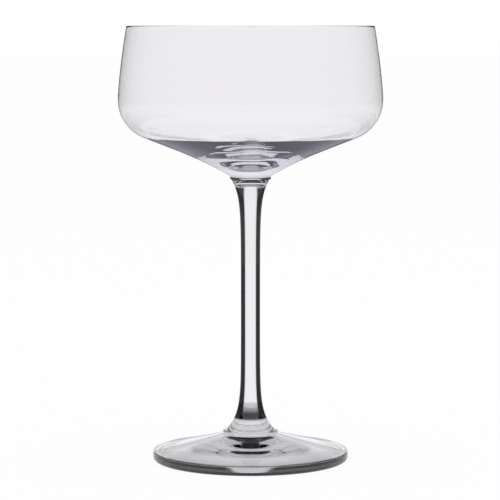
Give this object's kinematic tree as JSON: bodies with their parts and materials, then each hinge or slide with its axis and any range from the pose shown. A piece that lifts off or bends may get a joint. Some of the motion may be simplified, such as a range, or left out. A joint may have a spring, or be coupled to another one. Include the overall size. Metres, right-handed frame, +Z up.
{
  "type": "coupe glass",
  "caption": "Stemmed coupe glass with a wide shallow bowl, a slender stem flared at both ends and a conical foot.",
  "frame": {"origin": "middle of the circle on which the foot rests, at table height", "axes": "+Z up along the glass's axis of symmetry, towards the rim; +X and +Y are alike"},
  "size_m": [0.1, 0.1, 0.165],
  "materials": {
    "bowl_glass": "clear, polished",
    "stem_glass": "clear, polished",
    "foot_glass": "clear, polished"
  },
  "bodies": {
    "root": {"bowl": "bowl_glass", "stem": "stem_glass", "foot": "foot_glass"}
  },
  "joints": []
}
